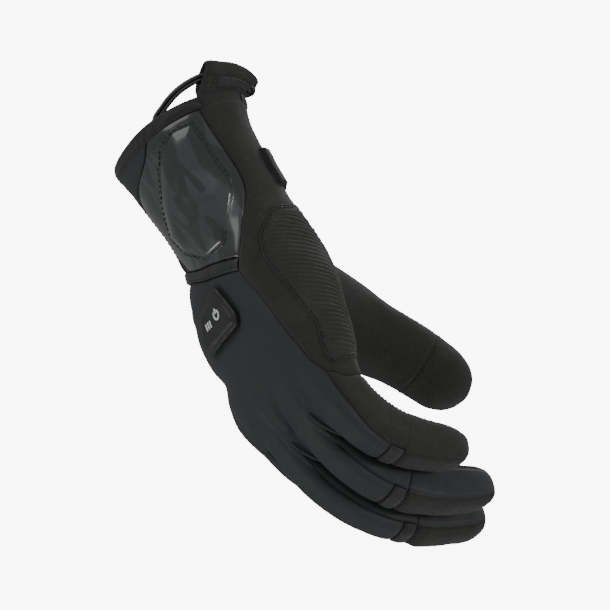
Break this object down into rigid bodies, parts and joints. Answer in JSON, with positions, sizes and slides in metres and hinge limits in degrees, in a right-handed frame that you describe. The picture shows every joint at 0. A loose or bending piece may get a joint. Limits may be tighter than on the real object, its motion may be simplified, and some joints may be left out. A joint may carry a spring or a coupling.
{
  "type": "heated glove",
  "caption": "Padded work glove with heating, left hand in a relaxed curl: sewn panels, webs and finger tips, glossy cuff shield with a raised pad, control button, pull loop and battery leads.",
  "frame": {"origin": "centre of the cuff opening, where the hand goes in", "axes": "+Z out of the cuff, away from the fingers; +X palm side; -X back of the hand; +Y thumb side; -Y little-finger side"},
  "size_m": [0.1499, 0.1078, 0.2639],
  "materials": {
    "softshell": "dense stretch weave, matt",
    "suede": "short nap, matt",
    "gloss_film": "coated, wet sheen, faint blotch pattern",
    "edging": "folded ribbon",
    "label": "plain woven patch",
    "lead_jacket": "smooth, semi-gloss",
    "moulded_rubber": "satin moulding",
    "print": "flat print"
  },
  "bodies": {
    "root": {"back_panel": "softshell", "band_index": "edging", "band_little": "edging", "band_middle": "edging", "band_ring": "edging", "control_button": "moulded_rubber", "cuff_gusset": "softshell", "cuff_hem": "edging", "cuff_shield": "gloss_film", "grip_patch": "suede", "lead_inner": "lead_jacket", "lead_outer": "lead_jacket", "level_bar_1": "print", "level_bar_2": "print", "level_bar_3": "print", "little_side": "suede", "loop_label": "label", "palm_panel": "suede", "power_ring": "print", "power_stem": "print", "pull_loop": "suede", "shield_pad": "gloss_film", "side_wrap": "suede", "thumb_back": "softshell", "thumb_palm": "suede", "thumb_tip": "suede", "tip_index": "suede", "tip_little": "suede", "tip_middle": "suede", "tip_ring": "suede", "web_little_ring": "suede", "web_middle_index": "suede", "web_ring_middle": "suede", "wrist_strip": "gloss_film", "wrist_tab": "moulded_rubber"}
  },
  "joints": []
}
